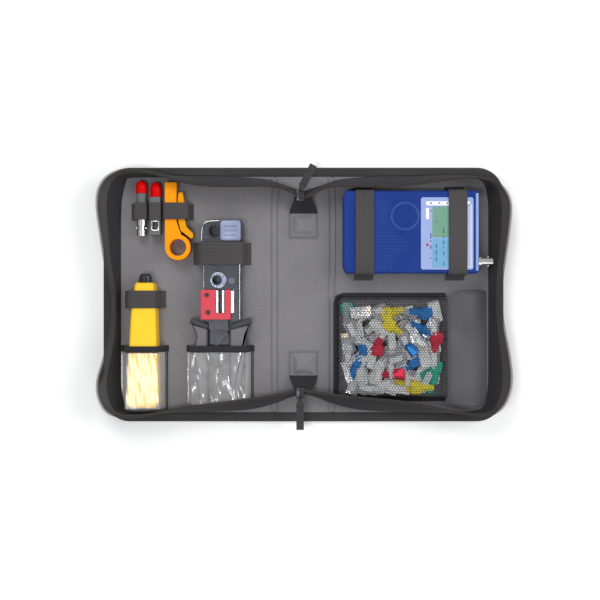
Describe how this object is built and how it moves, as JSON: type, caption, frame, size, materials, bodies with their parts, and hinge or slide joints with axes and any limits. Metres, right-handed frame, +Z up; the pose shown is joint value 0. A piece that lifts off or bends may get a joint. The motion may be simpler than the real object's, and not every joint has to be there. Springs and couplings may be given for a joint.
{
  "type": "network cable tool kit in a zip case",
  "caption": "Zip-around soft case lying open flat, holding a tone probe, crimping tool, cable stripper, cable tester with remotes, and a mesh pocket of plugs.",
  "frame": {"origin": "under the middle of the spine, on the surface the open case lies on", "axes": "+X towards the tester's cover, +Y towards the case's top edge, +Z up out of the open case"},
  "size_m": [0.485, 0.3052, 0.0327],
  "materials": {
    "outer_leatherette": "grained leatherette over board",
    "lining": "grey grained leatherette",
    "binding": "woven webbing",
    "gusset_fabric": "woven nylon",
    "zip_tape": "zip tape and coil",
    "slider_metal": "black enamel",
    "elastic": "ribbed elastic",
    "clear_vinyl": "clear vinyl",
    "mesh": "open knitted mesh",
    "yellow_plastic": "smooth",
    "black_tip": "smoked",
    "orange_button": "soft key",
    "circuit_board": "solder resist",
    "cell_case": "battery case",
    "dark_steel": "blackened steel",
    "black_grip": "moulded grip",
    "bolt_steel": "turned",
    "screw_black": "blackened",
    "die_metal": "blue-grey sintered metal",
    "red_plastic": "smooth",
    "white_blade": "ground",
    "orange_plastic": "smooth",
    "amber_plastic": "smooth",
    "remote_grey": "satin",
    "plated_metal": "nickel plate",
    "red_rubber": "glossy cap",
    "blue_plastic": "satin",
    "label_film": "printed film",
    "socket_black": "moulded",
    "clear_plastic": "clear polycarbonate",
    "blue_boot": "soft",
    "red_boot": "soft",
    "yellow_boot": "soft",
    "green_boot": "soft"
  },
  "bodies": {
    "spine": {"spine_panel": "outer_leatherette", "spine_lining": "lining", "spine_webbing": "binding", "gusset_ends": "gusset_fabric", "zip_end_anchors": "lining", "zip_sliders": "slider_metal"},
    "left_cover": {"left_cover_panel": "outer_leatherette", "left_lining": "lining", "left_webbing": "binding", "left_gusset": "gusset_fabric", "left_zip": "zip_tape", "elastic_loops": "elastic", "tool_straps": "elastic", "vinyl_pockets": "clear_vinyl"},
    "right_cover": {"right_cover_panel": "outer_leatherette", "right_lining": "lining", "right_webbing": "binding", "right_gusset": "gusset_fabric", "right_zip": "zip_tape", "tester_straps": "elastic", "mesh_pocket": "mesh", "modular_plugs": "clear_plastic", "blue_boots": "blue_boot", "red_boots": "red_boot", "yellow_boots": "yellow_boot", "green_boots": "green_boot"},
    "flap": {"pocket_flap": "lining"},
    "top_pull": {"top_pull_tab": "binding"},
    "bottom_pull": {"bottom_pull_tab": "binding"},
    "probe": {"probe_front_shell": "yellow_plastic", "probe_back_shell": "yellow_plastic", "probe_tip": "black_tip", "probe_board": "circuit_board", "probe_battery": "cell_case"},
    "probe_key": {"probe_button": "orange_button"},
    "crimper": {"crimper_frame": "dark_steel", "frame_grip": "black_grip", "pivot_bolt": "bolt_steel", "crimper_dies": "die_metal", "blade_guard": "red_plastic", "guard_screws": "screw_black", "cutter_blades": "white_blade", "ratchet_link": "dark_steel"},
    "crimper_handle": {"crimper_lever": "dark_steel", "lever_grip": "black_grip"},
    "crimper_catch": {"release_lever": "dark_steel"},
    "stripper": {"stripper_body": "orange_plastic"},
    "stripper_jaw": {"stripper_lever": "amber_plastic"},
    "coax_remote": {"coax_remote_body": "remote_grey", "coax_remote_jack": "plated_metal", "coax_remote_cap": "red_rubber"},
    "modular_remote": {"modular_remote_body": "remote_grey", "modular_remote_cap": "red_rubber"},
    "tester": {"tester_top_shell": "blue_plastic", "tester_bottom_shell": "blue_plastic", "tester_label": "label_film", "tester_coax_jack": "plated_metal", "tester_modular_jack": "socket_black", "tester_board": "circuit_board", "tester_battery": "cell_case"}
  },
  "joints": [
    {"name": "left_cover_fold", "type": "hinge", "parent": "spine", "child": "left_cover", "pos_m": [-0.033, 0, 0.0024], "axis": [0, 1, 0], "range_deg": [0, 90], "deforming": ["gusset_ends", "zip_end_anchors"]},
    {"name": "right_cover_fold", "type": "hinge", "parent": "spine", "child": "right_cover", "pos_m": [0.033, 0, 0.0024], "axis": [0, -1, 0], "range_deg": [0, 90]},
    {"name": "flap_lift", "type": "hinge", "parent": "right_cover", "child": "flap", "pos_m": [0.2124, 0, 0.0061], "axis": [0, -1, 0], "range_deg": [-100, 0]},
    {"name": "top_pull_swing", "type": "hinge", "parent": "spine", "child": "top_pull", "pos_m": [-0.004, 0.119, 0.0281], "axis": [-0.8829, 0.4695, 0], "range_deg": [-80, 0]},
    {"name": "bottom_pull_swing", "type": "hinge", "parent": "spine", "child": "bottom_pull", "pos_m": [-0.004, -0.119, 0.0281], "axis": [1, 0, 0], "range_deg": [-80, 0]},
    {"name": "probe_withdraw", "type": "slide", "parent": "left_cover", "child": "probe", "axis": [0, 1, 0], "range_m": [0, 0.036]},
    {"name": "probe_button_press", "type": "slide", "parent": "probe", "child": "probe_key", "axis": [0, 0, -1], "range_m": [0, 0.0008], "stiffness_N_per_m": 400},
    {"name": "crimper_withdraw", "type": "slide", "parent": "left_cover", "child": "crimper", "axis": [0, -1, 0], "range_m": [-0.028, 0]},
    {"name": "crimper_handle_open", "type": "hinge", "parent": "crimper", "child": "crimper_handle", "pos_m": [-0.0825, 0.0158, 0.0128], "axis": [0, 0, -1], "range_deg": [-3, 0]},
    {"name": "release_catch_swing", "type": "hinge", "parent": "crimper", "child": "crimper_catch", "pos_m": [-0.088, -0.0445, 0.0141], "axis": [0, 0, -1], "range_deg": [-20, 0]},
    {"name": "stripper_withdraw", "type": "slide", "parent": "left_cover", "child": "stripper", "axis": [0, 1, 0], "range_m": [-0.046, 0]},
    {"name": "stripper_jaw_squeeze", "type": "hinge", "parent": "stripper", "child": "stripper_jaw", "pos_m": [-0.1412, 0.0965, 0.0114], "axis": [0, 0, 1], "range_deg": [-3, 0], "stiffness_Nm_per_rad": 0.3},
    {"name": "coax_remote_withdraw", "type": "slide", "parent": "left_cover", "child": "coax_remote", "axis": [0, 1, 0], "range_m": [-0.04, 0]},
    {"name": "modular_remote_withdraw", "type": "slide", "parent": "left_cover", "child": "modular_remote", "axis": [0, 1, 0], "range_m": [-0.04, 0]},
    {"name": "tester_withdraw", "type": "slide", "parent": "right_cover", "child": "tester", "axis": [1, 0, 0], "range_m": [-0.026, 0]}
  ]
}
